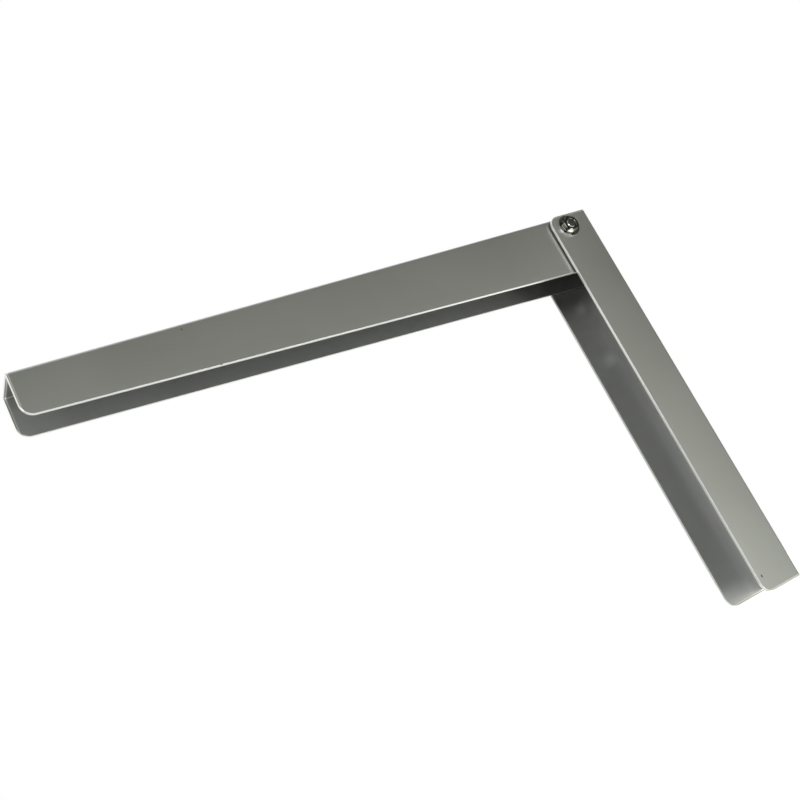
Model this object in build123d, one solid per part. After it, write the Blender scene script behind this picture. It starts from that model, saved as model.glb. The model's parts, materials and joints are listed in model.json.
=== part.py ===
from build123d import *
from math import cos, pi, radians, tan
import os

# Folding shelf bracket: two folded steel channels joined by one pivot bolt.
#
# The wall channel stands against the wall with its web.  The arm channel carries the shelf
# on its web, sits between the flanges of the wall channel and turns on the bolt.  The square
# lower part of its root end bears on the wall channel's web, so the arm stops level under a
# load and folds upwards only.
#
# Frame: millimetres, +Z up, the wall is the plane X = 0, the arm points along -X, the bracket
# is symmetric about Y = 0 and the origin is the middle of the wall channel's back face.

# ---- Sheet steel, the same for both channels ----
sheet = 1.5
bend_inner_r = 0.5
free_corner_r = 5.5
edge_roll = 0.35

# ---- Wall channel ----
wall_length = 210.0
wall_depth = 24.8
wall_hole_d = 5.5
wall_hole_count = 2
wall_hole_pitch = 32.0
wall_hole_below_top = 39.0

# ---- Arm channel ----
arm_reach = 298.5
arm_width = 23.4
arm_root_depth = 32.0
arm_tip_depth = 19.9
arm_above_wall = 0.1
heel_r = 1.5
relief_drop = 3.0
shelf_hole_d = 4.5
shelf_hole_count = 3
shelf_hole_pitch = 115.0
shelf_hole_from_tip = 20.0

# ---- Pivot ----
pivot_from_wall = 15.4
pivot_below_top = 7.0
hole_clearance = 0.1
face_clearance = 0.05

# ---- Bolt, nut and washers ----
bolt_d = 5.0
bolt_proud = 0.1
bolt_end_chamfer = 0.4
hex_sides = 6
hex_flats = 8.0
hex_chamfer_deg = 30.0
hex_face_share = 0.95
hex_turn = 33.0
head_height = 3.5
nut_height = 2.5
thread_clearance = 0.05
nut_mouth = 0.3
washer_d = 12.0
washer_t = 0.8
washer_rim = 0.2
spacer_t = 0.9

# ---- Worked out from the sizes above ----
bend_outer_r = bend_inner_r + sheet
flange_gap = spacer_t + 2 * face_clearance
wall_width = arm_width + 2 * (flange_gap + sheet)
wall_top = wall_length / 2
arm_top = wall_top + arm_above_wall
arm_length = arm_reach - sheet
pivot_x = -pivot_from_wall
pivot_z = wall_top - pivot_below_top
pivot_to_web = pivot_from_wall - sheet
pivot_hole_r = bolt_d / 2 + hole_clearance

# The planes the pieces are drawn in.  Both channel planes look along the channel with the web
# outwards along +Y of the plane; the pivot plane looks out of the nut's side of the bracket.
wall_plane = Plane(origin=(0, 0, wall_top), x_dir=(0, 1, 0), z_dir=(0, 0, -1))
arm_plane = Plane(origin=(-arm_reach, 0, arm_top), x_dir=(0, 1, 0), z_dir=(1, 0, 0))
pivot_plane = Plane(origin=(pivot_x, 0, pivot_z), x_dir=(1, 0, 0), z_dir=(0, -1, 0))

# Seats along the pivot axis, from the middle of the bracket outwards.
arm_seat = arm_width / 2
wall_seat = wall_width / 2
nut_seat = wall_seat + washer_t
bolt_end = nut_seat + nut_height + bolt_proud


def channel_bar(plane, width, depth, length):
    """A straight U channel: outer and inner outline with their bend radii, drawn out."""
    outer = Pos(0, -depth / 2) * Rectangle(width, depth)
    outer = fillet(outer.vertices().group_by(Axis.Y)[-1], bend_outer_r)
    inner = Pos(0, -sheet - depth / 2) * Rectangle(width - 2 * sheet, depth)
    inner = fillet(inner.vertices().group_by(Axis.Y)[-1], bend_inner_r)
    return extrude(plane * (outer - inner), amount=length)


def cut_to_side(bar, side, width):
    """Keep of a bar what lies inside a side outline drawn in X and Z."""
    return bar & extrude(Plane.XZ * side, amount=width, both=True)


def roll_rim(channel, bend_axis, web_axis):
    """Round the rim of the outer skin, as the blanking punch leaves it."""
    sides = channel.faces().filter_by(Axis.Y).sort_by(Axis.Y)
    web = channel.faces().sort_by(web_axis)[-1]
    bends = [
        face
        for face in channel.faces().filter_by(GeomType.CYLINDER)
        if face.axis_of_rotation.is_parallel(bend_axis) and face.radius > bend_inner_r + sheet / 2
    ]
    skin_edges = [edge for face in (sides[0], sides[-1], web, *bends) for edge in face.edges()]
    rim = [edge for edge in skin_edges if skin_edges.count(edge) == 1]
    return channel.fillet(edge_roll, rim)


def drill_row(channel, first_hole, radius, pitch=0, count=1):
    """Round holes square to a plane and in a row along its X axis, through all in their way."""
    reach = 2 * (wall_width + arm_root_depth)
    for index in range(count):
        channel -= first_hole * Pos(pitch * index, 0) * Cylinder(radius, reach)
    return channel


def wall_channel():
    side = Pos(-wall_depth / 2, 0) * Rectangle(wall_depth, wall_length)
    side = fillet(side.vertices().group_by(Axis.X)[0], free_corner_r)
    bar = channel_bar(wall_plane, wall_width, wall_depth, wall_length)
    channel = roll_rim(cut_to_side(bar, side, wall_width), Axis.Z, Axis.X)
    channel = drill_row(channel, pivot_plane, pivot_hole_r)
    highest_z = wall_top - wall_hole_below_top
    highest_hole = Plane(origin=(0, 0, highest_z), x_dir=(0, 0, -1), z_dir=(1, 0, 0))
    return drill_row(channel, highest_hole, wall_hole_d / 2, wall_hole_pitch, wall_hole_count)


def arm_side():
    """Tapered flange outline: round free corner at the tip, heel and swing relief at the root."""
    outline = Polygon(
        (-arm_reach, arm_top),
        (-arm_reach, arm_top - arm_tip_depth),
        (-sheet, arm_top - arm_root_depth),
        (-sheet, arm_top),
        align=None,
    )
    low_corners = outline.vertices().group_by(Axis.X)
    outline = fillet(low_corners[0].sort_by(Axis.Y)[0], free_corner_r)
    low_corners = outline.vertices().group_by(Axis.X)
    outline = fillet(low_corners[-1].sort_by(Axis.Y)[0], heel_r)
    relief_z = pivot_z - relief_drop
    above = Rectangle(pivot_to_web, arm_root_depth, align=(Align.MIN, Align.MIN))
    relief = Pos(pivot_x, relief_z) * (above - Circle(pivot_to_web))
    return outline - relief


def arm_channel():
    bar = channel_bar(arm_plane, arm_width, arm_root_depth, arm_length)
    channel = roll_rim(cut_to_side(bar, arm_side(), arm_width), Axis.X, Axis.Z)
    channel = drill_row(channel, pivot_plane, pivot_hole_r)
    outermost_hole = Plane(origin=(shelf_hole_from_tip - arm_reach, 0, arm_top), z_dir=(0, 0, 1))
    return drill_row(channel, outermost_hole, shelf_hole_d / 2, shelf_hole_pitch, shelf_hole_count)


def on_pivot(shape, start):
    """Set a shape drawn from its foot along +Z on the pivot axis, start mm out on the nut's side."""
    return pivot_plane * Pos(0, 0, start) * shape


def other_side(shape):
    """The same piece on the bolt head's side of the bracket."""
    return mirror(shape, Plane.XZ)


def washer(thickness):
    """Flat washer, its rim broken round the outer face."""
    disc = extrude(Circle(washer_d / 2) - Circle(pivot_hole_r), amount=thickness)
    outer_face = disc.faces().sort_by(Axis.Z)[-1]
    return disc.chamfer(washer_rim, None, [outer_face.outer_wire().edge()])


def hexagon(height, foot_turned):
    """Hexagon whose corners are turned off by a cone at its outer face, on a nut at its foot too."""
    flat_r = hex_flats / 2
    corner_r = flat_r / cos(pi / hex_sides)
    face_r = flat_r * hex_face_share
    cone_drop = (corner_r - face_r) * tan(radians(hex_chamfer_deg))
    foot_r = face_r if foot_turned else corner_r
    profile = Polygon(
        (0, 0),
        (foot_r, 0),
        (corner_r, cone_drop),
        (corner_r, height - cone_drop),
        (face_r, height),
        (0, height),
        align=None,
    )
    outline = RegularPolygon(flat_r, hex_sides, major_radius=False, rotation=hex_turn)
    return extrude(outline, amount=height) & revolve(Plane.XZ * profile, Axis.Z)


def lock_nut():
    """Thin nut; its bore is smooth at the thread's outer diameter, with turned mouths."""
    bore = Cylinder(bolt_d / 2 + thread_clearance, 3 * nut_height)
    nut = hexagon(nut_height, foot_turned=True) - bore
    mouths = nut.edges().filter_by(GeomType.CIRCLE).sort_by(SortBy.RADIUS)[:2]
    return on_pivot(nut.chamfer(nut_mouth, None, mouths), nut_seat)


def pivot_bolt():
    """Hexagon head on the hidden side, plain shank through both channels, turned end."""
    shank_length = nut_seat + bolt_end
    shank = Cylinder(bolt_d / 2, shank_length, align=(Align.CENTER, Align.CENTER, Align.MIN))
    end_edge = shank.edges().filter_by(GeomType.CIRCLE).sort_by(Axis.Z)[-1]
    shank = shank.chamfer(bolt_end_chamfer, None, [end_edge])
    head = other_side(on_pivot(hexagon(head_height, foot_turned=False), nut_seat))
    return head + on_pivot(shank, -nut_seat)


nut_washer = on_pivot(washer(washer_t), wall_seat)
spacer_washer = on_pivot(washer(spacer_t), arm_seat + face_clearance)

pieces = {
    "wall_channel": wall_channel(),
    "arm_channel": arm_channel(),
    "pivot_bolt": pivot_bolt(),
    "lock_nut": lock_nut(),
    "nut_washer": nut_washer,
    "head_washer": other_side(nut_washer),
    "spacer_washer_near": spacer_washer,
    "spacer_washer_far": other_side(spacer_washer),
}

os.makedirs("parts", exist_ok=True)
for name, piece in pieces.items():
    export_step(piece, f"parts/{name}.step")
    print(f"{name}: {piece.volume:.1f} mm3")
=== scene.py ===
# %% [markdown]
# # A folding shelf bracket
#
# The real object is two folded steel channels and one pivot bolt.  The construction is already
# done, so it is loaded here as a fixed frame.  This lesson dresses it: paint for
# the channels, plating for the pivot hardware, and turned pieces where the hardware needs
# finer edges than its solids have.  Every length is in metres and every piece stays where the
# construction puts it.

# %% Load the frame
import json
from math import cos, pi, radians, sin, tan
from types import SimpleNamespace

import bpy
import numpy as np
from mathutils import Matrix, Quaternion, Vector


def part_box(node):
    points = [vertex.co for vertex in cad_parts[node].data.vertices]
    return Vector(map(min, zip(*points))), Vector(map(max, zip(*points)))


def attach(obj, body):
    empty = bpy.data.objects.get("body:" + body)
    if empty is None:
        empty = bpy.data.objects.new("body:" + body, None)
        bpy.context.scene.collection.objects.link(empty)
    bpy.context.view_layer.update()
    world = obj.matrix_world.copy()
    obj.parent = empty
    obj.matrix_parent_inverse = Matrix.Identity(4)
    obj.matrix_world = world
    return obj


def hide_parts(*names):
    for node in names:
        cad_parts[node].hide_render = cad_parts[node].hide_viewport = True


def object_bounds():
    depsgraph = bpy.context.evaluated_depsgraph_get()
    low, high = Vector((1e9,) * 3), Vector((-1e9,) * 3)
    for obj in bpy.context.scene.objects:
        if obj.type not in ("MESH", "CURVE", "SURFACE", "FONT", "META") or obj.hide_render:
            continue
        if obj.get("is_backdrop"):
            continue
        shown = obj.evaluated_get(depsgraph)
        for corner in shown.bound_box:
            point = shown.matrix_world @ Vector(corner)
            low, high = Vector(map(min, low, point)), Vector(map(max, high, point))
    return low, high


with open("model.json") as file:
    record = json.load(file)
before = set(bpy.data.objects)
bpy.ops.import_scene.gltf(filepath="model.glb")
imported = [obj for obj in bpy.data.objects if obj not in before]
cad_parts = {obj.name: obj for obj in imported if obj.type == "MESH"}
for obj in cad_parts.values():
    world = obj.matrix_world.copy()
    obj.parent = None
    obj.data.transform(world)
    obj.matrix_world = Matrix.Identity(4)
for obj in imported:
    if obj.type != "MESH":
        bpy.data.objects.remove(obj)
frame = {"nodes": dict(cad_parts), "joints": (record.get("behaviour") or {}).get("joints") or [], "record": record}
cad_box = [list(corner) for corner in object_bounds()]
lowest, highest = (Vector(corner) for corner in cad_box)
mm = 0.001
print("bracket measures", [round(side / mm, 1) for side in highest - lowest], "mm")

# %% [markdown]
# ## The camera
#
# A bracket like this is best seen from the open side of its channels, from in front and a
# little below, with the nut towards us.  A camera could be aimed with a constraint, but three
# angles and a place say the same thing plainly: azimuth round the object, elevation, and the
# roll that lets the long arm run across the picture.

# %% Camera
view_azimuth, view_elevation, view_roll = radians(-30.10), radians(-13.67), radians(-27.45)
backwards = Vector((
    sin(view_azimuth) * cos(view_elevation),
    -cos(view_azimuth) * cos(view_elevation),
    sin(view_elevation),
))
camera_data = bpy.data.cameras.new("camera")
camera_data.lens = 48.54
camera_data.sensor_width = 36.0
camera_data.shift_x = -0.0049
camera_data.shift_y = 0.0046
camera_data.clip_start = 0.01
camera = bpy.data.objects.new("camera", camera_data)
camera.location = (-0.37765, -0.40828, -0.07183)
camera.rotation_mode = "QUATERNION"
aim = (-backwards).to_track_quat("-Z", "Y")
camera.rotation_quaternion = aim @ Quaternion((0, 0, 1), view_roll)
bpy.context.scene.collection.objects.link(camera)
bpy.context.scene.camera = camera
bpy.context.scene.view_settings.view_transform = "Standard"
print("camera stands", round(camera.location.length, 3), "m from the frame's origin")

# %% [markdown]
# ## Writing shader maths as sums
#
# A procedural finish is arithmetic on positions.  Wiring every Math node by hand hides that
# arithmetic, so one small class wraps a socket: adding or multiplying two wires adds the Math
# node that does it, and any other kind of node comes from one method.

# %% A wire
class Wire:
    """One output socket; +, - and * on it add the Math nodes that work the result out."""

    def __init__(self, tree, socket=None):
        self.tree = tree
        self.socket = socket

    def node(self, kind, sockets=None, out=0, **settings):
        """Any node of the tree: its settings first, then its sockets' values or wires."""
        made = self.tree.nodes.new(kind)
        for name, value in settings.items():
            setattr(made, name, value)
        for key, value in (sockets or {}).items():
            if isinstance(value, Wire):
                self.tree.links.new(value.socket, made.inputs[key])
            else:
                made.inputs[key].default_value = value
        return Wire(self.tree, made.outputs[out])

    def maths(self, operation, *values):
        """A Math node on the values given, and on nothing else."""
        return self.node("ShaderNodeMath", dict(enumerate(values)), operation=operation)

    def vector(self, operation, *values, out=0):
        """A Vector Math node on the values given; out 1 is its number, such as a length."""
        return self.node("ShaderNodeVectorMath", dict(enumerate(values)), out, operation=operation)

    def __add__(self, other):
        return self.maths("ADD", self, other)

    def __sub__(self, other):
        return self.maths("SUBTRACT", self, other)

    def __rsub__(self, other):
        return self.maths("SUBTRACT", other, self)

    def __mul__(self, other):
        return self.maths("MULTIPLY", self, other)

    __radd__ = __add__
    __rmul__ = __mul__

    def __abs__(self):
        return self.maths("ABSOLUTE", self)

    def larger(self, other):
        """The larger of this wire and another."""
        return self.maths("MAXIMUM", self, other)

    def smaller(self, other):
        """The smaller of this wire and another."""
        return self.maths("MINIMUM", self, other)

    def part(self, index):
        """One component of a vector wire, 0 for X."""
        return self.node("ShaderNodeSeparateXYZ", {0: self}, index)

    def ramp(self, low, high):
        """0 below low, 1 above high, smooth between; with low above high it falls."""
        return self.node("ShaderNodeMapRange", {0: self, 1: low, 2: high, 3: 0.0, 4: 1.0},
                         interpolation_type="SMOOTHSTEP")

    def tint(self, dark, light):
        """A colour from dark, where the wire is 0, to light, where it is 1."""
        ends = [end if isinstance(end, Wire) else (*end, 1.0) for end in (dark, light)]
        return self.node("ShaderNodeMix", {0: self, 6: ends[0], 7: ends[1]}, 2,
                         data_type="RGBA", clamp_factor=True)

    def noise(self, scale, detail=2.0):
        """Noise from 0 to 1 on a position wire, scale waves to its unit."""
        return self.node("ShaderNodeTexNoise",
                         {"Vector": self, "Scale": scale, "Detail": detail, "Roughness": 0.5})


print("a wire can be added, multiplied, ramped and tinted")

# %% [markdown]
# ## A finish to start from
#
# Every finish here starts the same way, as a Principled shader in an empty tree.  It needs two
# things to say where it is: the position on the piece, in the millimetres that a workshop
# uses, and the direction that the surface faces.  Both are read in the piece's own axes, so
# that a finish stays on its piece when the arm swings.

# %% Materials, places and directions
def finish_tree(name):
    """A material with an empty node tree, its Principled shader and a wire to write it with."""
    material = bpy.data.materials.new(name)
    material.use_nodes = True
    tree = material.node_tree
    tree.nodes.clear()
    shader = tree.nodes.new("ShaderNodeBsdfPrincipled")
    output = tree.nodes.new("ShaderNodeOutputMaterial")
    tree.links.new(shader.outputs[0], output.inputs[0])
    return material, shader, Wire(tree)


def feed(shader, sockets):
    """Link wires to a shader's sockets, or set plain values on them."""
    for name, value in sockets.items():
        socket = shader.inputs[name]
        if isinstance(value, Wire):
            value.tree.links.new(value.socket, socket)
        else:
            socket.default_value = value


def place_in_mm(wire):
    """The position on the piece, in millimetres from the frame's origin."""
    coordinates = wire.node("ShaderNodeTexCoord", out=3)
    return wire.node("ShaderNodeMapping", {0: coordinates, 3: (1 / mm, 1 / mm, 1 / mm)})


def own_normal(wire):
    """The direction that the surface faces, in the piece's own axes."""
    return wire.node("ShaderNodeTexCoord", out=1)


pivot = Vector(frame["joints"][0]["pos_m"]) / mm


def about_pivot(wire, place):
    """How far (mm) a place is from the pivot's axis: the offset across it, and its length."""
    offset = wire.vector("MULTIPLY", wire.vector("SUBTRACT", place, tuple(pivot)), (1, 0, 1))
    return offset, wire.vector("LENGTH", offset, out=1)


def bump(wire, height, depth):
    """A Normal wire: the surface raised by depth (m) where height is 1."""
    return wire.node("ShaderNodeBump", {"Height": height, "Distance": depth, "Strength": 1.0})


print("finishes measure from the pivot at", [round(side, 1) for side in pivot], "mm")

# %% [markdown]
# ## Where on a channel?
#
# The channels are blanked from sheet, folded and then sprayed with a grey metallic lacquer,
# and its look depends on where it lies.  It draws back from a sheared edge, so the cut faces
# of the sheet are paler and coarser than its skins.  The masks could be painted by hand, but
# the channels are simple enough to say it in words: a face belongs to the cut edge if it
# doesn't face sideways and is deeper than the web, or if it is at an end of the channel.

# %% Places on a channel
def on_channel(wire, node, outward, along):
    """Where a place is on a channel whose web faces outward and whose length lies along.

    depth below the web's face, from_end and from_pivot are in mm, and share is the depth as a
    share of the flange.  cut, outside, inside, nut_side and pivot_shade are masks: the sheared
    faces, the flanges' outer faces, the inner faces, the half on the nut's side of the middle,
    and the painted shade round the pivot, where the other channel covers it.
    """
    place, normal = place_in_mm(wire), own_normal(wire)
    low, high = (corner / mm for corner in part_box(node))
    depth = high[outward] - place.part(outward)
    from_end = (place.part(along) - low[along]).smaller(high[along] - place.part(along))
    past_bend, at_end = depth.ramp(3.0, 4.5), from_end.ramp(0.9, 0.5)
    sideways = abs(normal.part(1)).ramp(0.6, 0.95)
    endways = abs(normal.part(along)).ramp(0.15, 0.5)
    cut = ((1 - sideways) * past_bend).larger(at_end * endways)
    outside = abs(place.part(1)).ramp(high[1] - 1.0, high[1] - 0.5)
    nut_side = place.part(1).ramp(1.0, -1.0)
    from_pivot = about_pivot(wire, place)[1]
    # The last mask is painted shade: the inside within 28 to 44 mm of the pivot, where the other channel covers
    # it, but not the cut edges on the nut's side.
    return SimpleNamespace(
        place=place, depth=depth, from_end=from_end, from_pivot=from_pivot,
        share=depth * (1 / (high[outward] - low[outward])),
        cut=cut, outside=outside, inside=(1 - outside) * depth.ramp(0.9, 1.4),
        nut_side=nut_side, pivot_shade=from_pivot.ramp(44.0, 28.0) * (1 - cut * nut_side))


print("a channel's places are measured from its web, its ends and the pivot")

# %% Screw holes
def hole_rims(wire, place, centres, radius, across):
    """1 in a narrow ring round each hole drilled across that axis, fading over 0.6 mm."""
    rims = None
    flat = [1.0, 1.0, 1.0]
    flat[across] = 0.0
    for centre in centres:
        offset = wire.vector("MULTIPLY", wire.vector("SUBTRACT", place, centre), flat)
        ring = wire.vector("LENGTH", offset, out=1).ramp(radius + 0.7, radius + 0.1)
        rims = ring if rims is None else rims.larger(ring)
    return rims


def row_of_holes(mounts, name):
    """Centres (mm) of a pair of screw holes, from the record's mounts."""
    pair = mounts[name]
    spacing = pair["dims"].get("spacing_y_mm", pair["dims"].get("spacing_x_mm"))
    centre = [side / mm for side in pair["pos_m"]]
    step = [0.0, 0.0, spacing / 2] if abs(pair["axis"][0]) > 0.5 else [spacing / 2, 0.0, 0.0]
    return [[c + sign * s for c, s in zip(centre, step)] for sign in (-1, 1)]


mounts = {mount["name"]: mount for mount in frame["record"]["mounts"]}
wall_holes = row_of_holes(mounts, "wall_screws")
shelf_holes = row_of_holes(mounts, "shelf_screws") + [
    [side / mm for side in mounts["shelf_screw_middle"]["pos_m"]]]
print("screw holes at", wall_holes, shelf_holes)

# %% [markdown]
# ## Grey metallic lacquer
#
# Seen from a step away the lacquer is one satin grey.  Close by it has three scales of detail:
# a broad drift in tone where the spray was heavier, a faint orange peel of about a millimetre,
# and the grain of its metal flake.  An image of paint would repeat or stretch; noise on the
# position does neither.  The sheet was rolled before it was painted, and faint lines along it
# show through.

# %% The sprayed film, and painted light
# From lacquer_dark to lacquer_light is the lacquer's own random tone; the lighter colour after them is painted
# light for the inner faces.
lacquer_dark, lacquer_light = (0.40, 0.41, 0.40), (0.55, 0.56, 0.545)
painted_inner_light = (0.66, 0.67, 0.66)


def lacquer_film(wire, place, along):
    """Noises from 0 to 1: the film's drift, orange peel and flake, and the rolled lines."""
    stretch = [6.0, 6.0, 6.0]
    stretch[along] = 0.15
    rolled = wire.node("ShaderNodeMapping", {0: place, 3: stretch}).noise(0.5)
    return SimpleNamespace(drift=place.noise(0.02, 3.0), peel=place.noise(0.8),
                           flake=place.noise(4.0, 1.0), rolled=rolled)


def grey_with_painted_light(here, film, inner_light_share):
    """The lacquer's grey, paler towards the free edges outside and lighter inside by that share, both painted
    light.
    """
    cloud = (film.drift * 0.5 + film.flake * 0.3 + film.rolled * 0.2).ramp(0.25, 0.75)
    # The share term is painted light: the flanges' outer faces grow paler towards their free edges.
    tone = 0.5 + (cloud - 0.5) * 0.35 + (here.share - 0.5) * here.outside * 0.6
    # Painted light inside: the inner faces lightened by the given share.
    return (here.inside * inner_light_share).tint(tone.tint(lacquer_dark, lacquer_light), painted_inner_light)


print("lacquer from", lacquer_dark, "to", lacquer_light)

# %% [markdown]
# ## Painted shade, painted highlights and wear
#
# Inside the fold the grey is darkened with painted shade, most of all under the pivot, where
# one channel covers the other.  On the rims of the ends, and on the cut edges on the nut's side
# near the pivot, a pale line is a painted highlight, with a thin painted shade at the very end.
# The lacquer is also thinner on the cuts and round the holes.  These could be separate materials
# on separate faces, but their borders are soft, so each is a colour laid over the last through
# its own mask.

# %% Painted shade, painted highlights and wear
# thin lacquer is the lacquer's own; the pale rim colour is a painted highlight and the darkest one painted shade.
thin_lacquer, painted_rim_highlight, painted_shade = (0.60, 0.60, 0.57), (0.85, 0.85, 0.80), (0.20, 0.20, 0.19)


def shaded(here, colour):
    """The colour darkened with painted shade towards the web inside, and where the other channel covers it."""
    # Painted shade: deepest in the fold's corner and under the pivot.
    near_web, in_corner = here.depth.ramp(9.0, 4.0), here.depth.ramp(2.2, 1.8)
    painted_fold_shade = (near_web * 0.3 + in_corner * 0.5) * (1 - here.cut)
    return (here.inside * (here.pivot_shade * 0.85).larger(painted_fold_shade)).tint(colour, painted_shade)


def wear_and_painted_rim_light(here, colour, rims):
    """The colour thinned on cuts and holes; painted highlights near the pivot and at the ends, and a painted shade
    line at the very end.
    """
    # Thinner lacquer on the cuts and round the holes, kept off the cuts under the pivot's painted shade.
    colour = (here.cut * (1 - here.pivot_shade) * 0.8 + rims * 0.4).tint(colour, thin_lacquer)
    # A painted highlight on the cut edges on the nut's side, full within 60 mm of the pivot and gone at 140 mm.
    pivot_edge_highlight = here.cut * here.nut_side * here.from_pivot.ramp(140.0, 60.0)
    colour = (pivot_edge_highlight * 0.9).tint(colour, painted_rim_highlight)
    # A painted highlight along each end, full within 0.8 mm and gone at 1.2 mm, then painted shade on the skins'
    # last 0.3 to 0.5 mm.
    end_highlight, end_shade_line = here.from_end.ramp(1.2, 0.8), here.from_end.ramp(0.5, 0.3)
    colour = (end_highlight * 0.9).tint(colour, painted_rim_highlight)
    return (end_shade_line * (1 - here.cut) * 0.7).tint(colour, painted_shade)


print("shade", painted_shade, "and worn rims", painted_rim_highlight)

# %% [markdown]
# ## Chips, and the whole lacquer
#
# Three small marks are knocked in the lacquer: one at the foot of the wall channel and two
# along the arm.  Each is an ellipsoid with a ragged edge, which is cheaper than cutting the
# mesh and just as good at this size.  Flake makes the reflections broad and metallic, so the
# shader is mostly metallic with a middling roughness.

# %% Chips
bare_chip = (0.05, 0.05, 0.045)
wall_low, _ = (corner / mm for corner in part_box("wall_channel"))
arm_low, arm_high = (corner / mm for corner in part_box("arm_channel"))
foot_chip = ((wall_low.x + 2.9, wall_low.y, wall_low.z + 8.2), (0.42, 1.0, 0.8))
arm_specks = [
    ((arm_low.x + 72.4, arm_low.y, arm_high.z - 2.9), (0.45, 0.5, 0.26)),
    ((arm_low.x + 81.8, arm_low.y, arm_high.z - 23.0), (0.32, 0.5, 0.3)),
]


def chips(wire, place, spots):
    """1 inside small ragged spots, each given as its centre and its half lengths in mm."""
    ragged = place.noise(2.5) * 0.5
    mask = None
    for centre, half_lengths in spots:
        offset = wire.vector("DIVIDE", wire.vector("SUBTRACT", place, centre), half_lengths)
        spot = (wire.vector("LENGTH", offset, out=1) + ragged).ramp(1.35, 1.05)
        mask = spot if mask is None else mask.larger(spot)
    return mask


print(len(arm_specks), "chips on the arm and one at the foot")

# %% The lacquer
lacquer_relief = 0.006 * mm


def lacquer(name, node, outward, along, holes, hole_radius, spots, inner_light_share):
    """Satin grey metallic lacquer for one channel, lightened inside by that share as painted light."""
    material, shader, wire = finish_tree(name)
    here = on_channel(wire, node, outward, along)
    film = lacquer_film(wire, here.place, along)
    rims = hole_rims(wire, here.place, holes, hole_radius, outward)
    chip = chips(wire, here.place, spots)
    colour = wear_and_painted_rim_light(here, shaded(here, grey_with_painted_light(here, film, inner_light_share)), rims)
    unevenness = (film.drift - 0.5) * 0.06 + (film.flake - 0.5) * 0.05
    height = film.peel * 0.6 + film.flake * 0.25 + film.rolled * 0.15 - chip * 3.0
    feed(shader, {
        "Base Color": chip.tint(colour, bare_chip),
        "Roughness": 0.30 + unevenness + here.cut * 0.08 + chip * 0.3,
        "Metallic": 0.8,
        "Normal": bump(wire, height, lacquer_relief),
    })
    return material


def dress(node, material):
    """Give a loaded node one material in its slots."""
    slots = frame["nodes"][node].data.materials
    slots.clear()
    slots.append(material)


# The last number is the share of painted light inside: 0.6 on the wall channel, none on the arm.
x, z = 0, 2
dress("wall_channel", lacquer("wall_lacquer", "wall_channel", x, z, wall_holes,
                              mounts["wall_screws"]["dims"]["hole_r_mm"], [foot_chip], 0.6))
dress("arm_channel", lacquer("arm_lacquer", "arm_channel", z, x, shelf_holes,
                             mounts["shelf_screws"]["dims"]["hole_r_mm"], arm_specks, 0.0))
print("lacquer on wall_channel and arm_channel")

# %% [markdown]
# ## Nickel plating
#
# The bolt, nut and washers are turned or stamped and then nickel plated.  Handling has
# tarnished the plating to a dark olive.  The middles of the nut's flats and the washers' rims
# are painted highlights, and on the bolt it is the chamfer that is darkest, a painted shade.
# Turning leaves fine rings round the pivot, a function of one number, the distance from the
# pivot's axis, so noise on that distance alone draws them all.

# %% The plating
hex_turn = radians(33)
plating_relief = 0.003 * mm
rings_to_mm = 9.0


def nickel(name, dark, light, painted_side_light, flats=False):
    """Tarnished nickel, dark between its turning rings and light on them.

    The side colour is painted light on what faces away from the pivot's axis.  With flats,
    only the middle of each of the nut's six flats has it.
    """
    material, shader, wire = finish_tree(name)
    place = place_in_mm(wire)
    offset, distance = about_pivot(wire, place)
    rings = wire.node("ShaderNodeCombineXYZ", {0: distance * rings_to_mm}).noise(1.0)
    facing = abs(own_normal(wire).part(1))
    cloud, grain = place.noise(0.6, 3.0), place.noise(7.0)
    tone = (cloud * 0.6 + rings * 0.4).ramp(0.35, 0.65)
    # Painted light on the sides: a highlight on the nut and washers, shade on the bolt.
    side_light_mask = facing.ramp(0.7, 0.45)
    if flats:
        angle = wire.maths("ARCTAN2", offset.part(2), offset.part(0)) - hex_turn
        from_flat = wire.maths("FLOORED_MODULO", angle, pi / 3) - pi / 6
        side_light_mask = side_light_mask * abs(from_flat).ramp(0.38, 0.24)
    feed(shader, {
        "Base Color": side_light_mask.tint(tone.tint(dark, light), painted_side_light),
        "Roughness": 0.08 + cloud * 0.08 + (grain - 0.5) * 0.04,
        "Metallic": 1.0,
        "Normal": bump(wire, rings * facing.ramp(0.9, 0.98) + grain * 0.15, plating_relief),
    })
    return material


# The side colours are painted: highlights on the washers' rims and the nut's flats, shade on the bolt.
washer_nickel = nickel("washer_nickel", dark=(0.11, 0.11, 0.09), light=(0.25, 0.25, 0.235),
                       painted_side_light=(0.50, 0.50, 0.48))
nut_nickel = nickel("nut_nickel", dark=(0.05, 0.05, 0.035), light=(0.14, 0.14, 0.11),
                    painted_side_light=(0.75, 0.75, 0.73), flats=True)
bolt_nickel = nickel("bolt_nickel", dark=(0.22, 0.21, 0.22), light=(0.36, 0.35, 0.36),
                     painted_side_light=(0.10, 0.10, 0.10))
hardware = ["pivot_bolt", "lock_nut", "nut_washer", "head_washer",
            "spacer_washer_near", "spacer_washer_far"]
for node in hardware:
    dress(node, washer_nickel if "washer" in node else bolt_nickel)
dress("lock_nut", nut_nickel)
print("plating on", hardware)

# %% [markdown]
# ## Turned washers and nut
#
# The solids of the washers and the nut are plain, because threads and small roundings would
# cost them faces.  Up close it is just these roundings that shine, so two washers and the nut
# are made again.  Each is a closed ring, a profile carried round the pivot: a washer keeps one
# profile all the way, and the nut's radius follows the hexagon, which a cone then cuts at its
# corners into the arcs that every real nut has.  A shallow groove round the nut's seat slopes
# up to the washer's rim, and that slope is what lights the nut's lowest flat: it mirrors the
# lamp below.

# %% A ring round the pivot
sharp_angle = pi / 7


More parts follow.
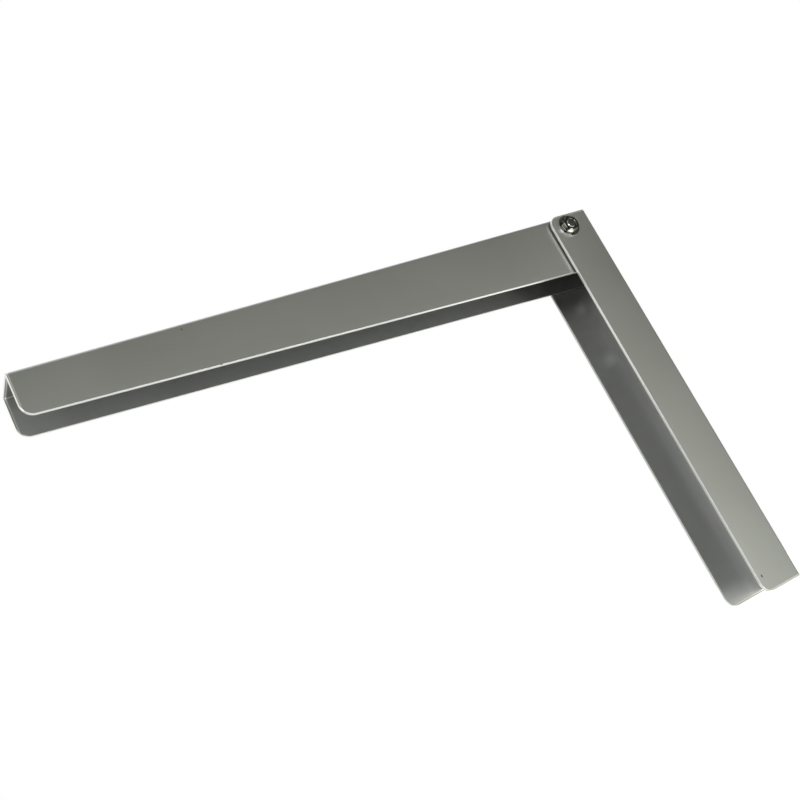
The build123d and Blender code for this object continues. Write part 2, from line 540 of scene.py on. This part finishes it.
def ring(name, radius, height, turn, node):
    """A closed ring in place of a CAD node, from rows of points round the pivot (mm).

    x = px + r cos t,  y = side (seat + h),  z = pz + r sin t, with a row of r and h for each
    point of the closed profile and a column for each turn t.
    """
    low, high = (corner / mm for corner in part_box(node))
    side = 1 if low.y + high.y > 0 else -1
    seat = min(abs(low.y), abs(high.y))
    points = np.stack([pivot.x + radius * np.cos(turn), side * (seat + height),
                       pivot.z + radius * np.sin(turn)], axis=-1) * mm
    first = np.arange(radius.size).reshape(radius.shape)
    beside, above = np.roll(first, -1, axis=1), np.roll(first, -1, axis=0)
    faces = np.stack([first, beside, np.roll(above, -1, axis=1), above], axis=-1).reshape(-1, 4)
    mesh = bpy.data.meshes.new(name)
    mesh.from_pydata(points.reshape(-1, 3).tolist(), [], faces[:, ::side].tolist())
    mesh.polygons.foreach_set("use_smooth", np.ones(len(faces), dtype=bool))
    mesh.set_sharp_from_angle(angle=sharp_angle)
    made = bpy.data.objects.new(name, mesh)
    bpy.context.scene.collection.objects.link(made)
    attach(made, "wall_side")
    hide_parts(node)
    return made


def rounded(middle_r, middle_h, radius, start, end, steps):
    """Points (r, h) of an arc from the angle start to end, in degrees, 0 pointing outwards."""
    angle = np.radians(np.linspace(start, end, steps))
    return np.stack([middle_r + radius * np.cos(angle), middle_h + radius * np.sin(angle)], axis=1)


turn = np.linspace(0.0, 2 * pi, 120, endpoint=False)
print("a ring has", len(turn), "steps round the pivot and stands at its node's seat")

# %% Washers
low, high = (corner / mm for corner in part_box("nut_washer"))
washer_r, washer_t = (high.x - low.x) / 2, high.y - low.y
bore_r, bore_round, seat_r, groove_r, groove_depth = 2.6, 0.15, 4.0, 4.15, 0.22
rim_r, foot_round = 0.3, 0.1
profile = np.concatenate([
    [(bore_r, 0.0), (bore_r, washer_t - bore_round), (bore_r + bore_round, washer_t)],
    [(seat_r, washer_t), (groove_r, washer_t - groove_depth)],
    rounded(washer_r - rim_r, washer_t - rim_r, rim_r, 98, 0, 9),
    [(washer_r, foot_round), (washer_r - foot_round, 0.0)],
])
radius, height = (np.repeat(profile[:, [column]], len(turn), axis=1) for column in (0, 1))
for node in ("nut_washer", "head_washer"):
    washer = ring("turned_" + node, radius, height, turn, node)
    washer.data.materials.append(washer_nickel)
print("washers of", round(washer_r, 2), "mm radius and", round(washer_t, 2), "mm thick")

# %% Nut
low, high = (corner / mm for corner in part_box("lock_nut"))
nut_height = high.y - low.y
flat_r, thread_r, mouth, face_r, cone_slope = 4.0, 2.55, 0.3, 3.65, tan(radians(30))
from_flat = turn % (pi / 3) - pi / 6
hexagon = flat_r / np.cos(from_flat)
drop = (hexagon - face_r) * cone_slope
level = np.ones_like(turn)
radius = np.stack([thread_r * level, thread_r * level, (thread_r + mouth) * level,
                   face_r * level, hexagon, hexagon, face_r * level, (thread_r + mouth) * level])
height = np.stack([mouth * level, (nut_height - mouth) * level, nut_height * level,
                   nut_height * level, nut_height - drop, drop * 0.5, 0 * level, 0 * level])
nut = ring("turned_lock_nut", radius, height, hex_turn + turn, "lock_nut")
nut.data.materials.append(nut_nickel)
edges = nut.modifiers.new("broken_edges", "BEVEL")
edges.width = 0.07 * mm
edges.segments = 2
edges.limit_method = "ANGLE"
edges.angle_limit = sharp_angle
edges.harden_normals = True
print("nut of", 2 * flat_r, "mm across flats and", round(nut_height, 2), "mm high")

# %% [markdown]
# ## The surroundings
#
# Satin metal shows what stands round it, so the surroundings do most of the work.  They are
# white on every side at strength 1, at which a colour renders about as it is written.  The
# floor is plain and pale and lies well below, as it does under a bracket on a wall.

# %% World and floor
world = bpy.data.worlds.new("white_studio")
world.use_nodes = True
world.node_tree.nodes["Background"].inputs["Color"].default_value = (1.0, 1.0, 1.0, 1.0)
world.node_tree.nodes["Background"].inputs["Strength"].default_value = 1.0
bpy.context.scene.world = world


def seen_directly(wire):
    """1 for rays that show the background: to the camera, or by way of a mirror or glass."""
    path = wire.tree.nodes.new("ShaderNodeLightPath")
    camera_ray, glossy_ray, through_ray = (
        Wire(wire.tree, path.outputs[name])
        for name in ("Is Camera Ray", "Is Glossy Ray", "Is Transmission Ray"))
    return camera_ray.larger(glossy_ray).larger(through_ray)


def flat_sheet(name, corners, material):
    """A stage piece: one flat face through its corners, in order."""
    mesh = bpy.data.meshes.new(name)
    mesh.from_pydata([tuple(corner) for corner in corners], [], [tuple(range(len(corners)))])
    mesh.materials.append(material)
    sheet = bpy.data.objects.new(name, mesh)
    bpy.context.scene.collection.objects.link(sheet)
    sheet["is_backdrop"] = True
    return sheet


floor_drop, floor_reach = 0.45, 12.0
floor_turn = np.linspace(0.0, 2 * pi, 64, endpoint=False)
floor_rim = np.stack([floor_reach * np.cos(floor_turn), floor_reach * np.sin(floor_turn),
                      np.full_like(floor_turn, lowest.z - floor_drop)], axis=1)
floor_finish, floor_shader, floor_wire = finish_tree("floor_white")
feed(floor_shader, {
    "Base Color": (0.8, 0.8, 0.8, 1.0),
    "Roughness": 0.9,
    "Specular IOR Level": 0.0,
    "Emission Color": seen_directly(floor_wire).tint((0.0, 0.0, 0.0), (0.6, 0.6, 0.6)),
    "Emission Strength": 1.0,
})
flat_sheet("floor", floor_rim, floor_finish)
print("floor lies", floor_drop, "m below the bracket")

# %% [markdown]
# ## Cards and lamps
#
# In a white room satin metal looks like chalk.  A studio puts dark cards where the metal
# mirrors them and soft lamps where it should shine.  Here a broad card in front, above and to
# the right grades the sides from dark at the top to pale at the foot.  Smaller ones at the
# side, behind and near the pivot give the folds and the plated pieces something dark to show.
# A lamp's brightness is given against the white surroundings, and neither the cards nor the
# lamps show in the picture.

# %% A card and a lamp
middle = (lowest + highest) / 2


def across_from(direction, distance, width, height, target=middle):
    """A rectangle's place, turn and corners, at that distance in that direction, facing us."""
    place = target + Vector(direction).normalized() * distance
    facing = (target - place).to_track_quat("-Z", "Y")
    corners = [place + facing @ Vector((x * width / 2, y * height / 2, 0.0))
               for x, y in ((-1, -1), (1, -1), (1, 1), (-1, 1))]
    return place, facing, corners


def soft_lamp(name, direction, distance, width, height, brightness):
    """A rectangular lamp facing the bracket, so many times as bright as the surroundings."""
    data = bpy.data.lights.new(name, "AREA")
    data.shape = "RECTANGLE"
    data.size, data.size_y = width, height
    data.energy = brightness * pi * width * height
    lamp = bpy.data.objects.new(name, data)
    lamp.rotation_mode = "QUATERNION"
    lamp.location, lamp.rotation_quaternion, _ = across_from(direction, distance, width, height)
    lamp.visible_camera = False
    bpy.context.scene.collection.objects.link(lamp)


def dark_card(name, direction, distance, width, height, glow, target=middle):
    """A card with a faint glow of its own: its colour at the foot, and from mid height up."""
    material, shader, wire = finish_tree(name)
    place, facing, corners = across_from(direction, distance, width, height, target)
    up = facing @ Vector((0.0, 1.0, 0.0))
    from_middle = wire.vector("SUBTRACT", wire.node("ShaderNodeTexCoord", out=3), tuple(place))
    rise = wire.vector("DOT_PRODUCT", from_middle, tuple(up), out=1)
    feed(shader, {
        "Base Color": (0.0, 0.0, 0.0, 1.0),
        "Specular IOR Level": 0.0,
        "Emission Color": rise.ramp(-height / 2, 0.0).tint(*glow),
        "Emission Strength": 1.0,
    })
    flat_sheet(name, corners, material).visible_camera = False


print("cards and lamps face the bracket, whose middle is at", [round(m / mm) for m in middle], "mm")

# %% Cards and lamps
dark, faint = (0.23, 0.233, 0.195), (0.88, 0.89, 0.80)
black, grey, half = (0.01, 0.01, 0.01), (0.14, 0.14, 0.13), (0.35, 0.35, 0.36)
at_pivot = pivot * mm
dark_card("front_card", (0.42, -0.76, 0.40), 1.1, 2.3, 2.1, (faint, dark))
dark_card("side_card", (0.93, 0.10, 0.10), 1.1, 0.9, 1.4, (dark, dark))
dark_card("black_card", (0.647, -0.698, 0.304), 0.8, 0.12, 0.12, (grey, grey), at_pivot)
dark_card("camera_card", (-0.16, -0.96, -0.22), 0.7, 0.22, 0.22, (black, black), at_pivot)
dark_card("back_card", (-0.66, 0.75, 0.06), 1.1, 0.6, 0.6, (half, half))
soft_lamp("left_lamp", (-0.69, -0.71, -0.05), 1.2, 0.3, 0.5, 6.5)
soft_lamp("low_lamp", (0.32, -0.86, -0.42), 1.2, 0.24, 0.24, 16.0)
soft_lamp("foot_lamp", (0.68, 0.05, -0.73), 1.2, 0.4, 0.4, 6.0)

# %% [markdown]
# ## Size after dressing
#
# The bracket must still be the size that its construction gave it.  The box before and after
# dressing is compared, and the growth of each side is printed.

# %% Sizes and finish
dressed_box = [list(corner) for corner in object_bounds()]
growth = [after - before for before, after in zip(sum(cad_box, []), sum(dressed_box, []))]
print("grown by", [round(side / mm, 3) for side in growth], "mm")
